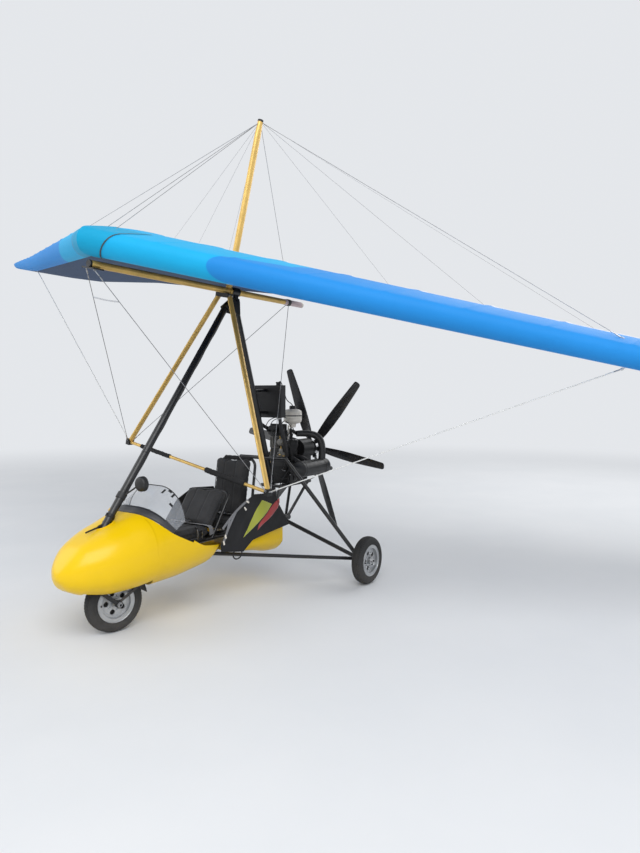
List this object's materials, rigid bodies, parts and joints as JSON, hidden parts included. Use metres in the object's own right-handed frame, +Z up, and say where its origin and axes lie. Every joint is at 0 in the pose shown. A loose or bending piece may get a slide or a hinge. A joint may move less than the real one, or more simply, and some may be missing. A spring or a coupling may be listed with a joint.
{
  "type": "microlight aircraft",
  "caption": "Two-seat flex-wing microlight: a three-wheeled trike with a front pod, pusher engine and propeller, hung under a fabric wing.",
  "frame": {"origin": "on the floor, in the trike's centre plane, at the middle of the overall length", "axes": "+X forward, +Y to port, +Z up"},
  "size_m": [3.753, 10.012, 3.8984],
  "materials": {
    "black_frame": "satin",
    "seat_fabric": "matte",
    "yellow_shell": "gloss",
    "clear_screen": "gloss",
    "black_plastic": "satin",
    "white_plastic": "satin",
    "side_cloth": "matte",
    "mirror_glass": "polished",
    "engine_metal": "satin",
    "carb_metal": "satin",
    "exhaust_black": "satin",
    "radiator_black": "satin",
    "tyre_rubber": "matte",
    "cast_rim": "satin",
    "prop_metal": "satin",
    "prop_blade": "satin",
    "bracket_metal": "satin",
    "gold_tube": "satin",
    "grip_foam": "matte",
    "sail_cloth": "satin",
    "sail_edge": "satin",
    "stay_wire": "satin"
  },
  "bodies": {
    "trike": {"keel_tube": "black_frame", "front_strut": "black_frame", "mast": "black_frame", "seat_frame": "black_frame", "front_seat": "seat_fabric", "rear_seat": "seat_fabric", "front_pod": "yellow_shell", "windscreen": "clear_screen", "instrument_panel": "black_plastic", "rear_fairing": "yellow_shell", "fuel_tank": "white_plastic", "side_cloths": "side_cloth", "pitot_tube": "black_plastic", "mirror": "mirror_glass", "lift_struts": "black_frame", "axle_struts": "black_frame", "axle_knuckles": "black_frame", "engine_mount": "black_frame", "engine_block": "engine_metal", "gearbox": "engine_metal", "carburettors": "carb_metal", "exhaust": "exhaust_black", "radiator": "radiator_black", "overflow_bottle": "white_plastic"},
    "nose_fork": {"fork": "black_frame", "mudguard": "black_plastic"},
    "nose_wheel": {"nose_tyre": "tyre_rubber", "nose_rim": "cast_rim"},
    "port_wheel": {"port_tyre": "tyre_rubber", "port_rim": "cast_rim"},
    "starboard_wheel": {"starboard_tyre": "tyre_rubber", "starboard_rim": "cast_rim"},
    "propeller": {"prop_hub": "prop_metal", "prop_blades": "prop_blade"},
    "hang_block": {"hang_bracket": "bracket_metal"},
    "wing": {"wing_keel": "gold_tube", "kingpost": "gold_tube", "downtube_port": "gold_tube", "downtube_starboard": "gold_tube", "basebar": "gold_tube", "bar_grips": "grip_foam", "wing_brackets": "bracket_metal", "sail_port": "sail_cloth", "sail_starboard": "sail_cloth", "nose_cap": "sail_edge", "lower_wires": "stay_wire", "upper_wires": "stay_wire"}
  },
  "joints": [
    {"name": "steering", "type": "hinge", "parent": "trike", "child": "nose_fork", "pos_m": [1.71, 0, 0.45], "axis": [0, 0, 1], "range_deg": [-10, 34]},
    {"name": "nose_wheel_spin", "type": "hinge", "parent": "nose_fork", "child": "nose_wheel", "pos_m": [1.46546, 0.05198, 0.205], "axis": [0.2079, 0.9781, 0], "continuous": true},
    {"name": "port_wheel_spin", "type": "hinge", "parent": "trike", "child": "port_wheel", "pos_m": [-0.51, 0.94, 0.205], "axis": [0, 1, 0], "continuous": true},
    {"name": "starboard_wheel_spin", "type": "hinge", "parent": "trike", "child": "starboard_wheel", "pos_m": [-0.51, -0.94, 0.205], "axis": [0, 1, 0], "continuous": true},
    {"name": "propeller_spin", "type": "hinge", "parent": "trike", "child": "propeller", "pos_m": [-1.02, 0, 1.114], "axis": [1, 0, 0], "continuous": true},
    {"name": "wing_pitch", "type": "hinge", "parent": "trike", "child": "hang_block", "pos_m": [0.141, 0, 2.44], "axis": [0, -1, 0], "range_deg": [0, 26]},
    {"name": "wing_roll", "type": "hinge", "parent": "hang_block", "child": "wing", "pos_m": [0.141, 0, 2.518], "axis": [1, 0, 0], "range_deg": [-4.5, 27.5]}
  ]
}
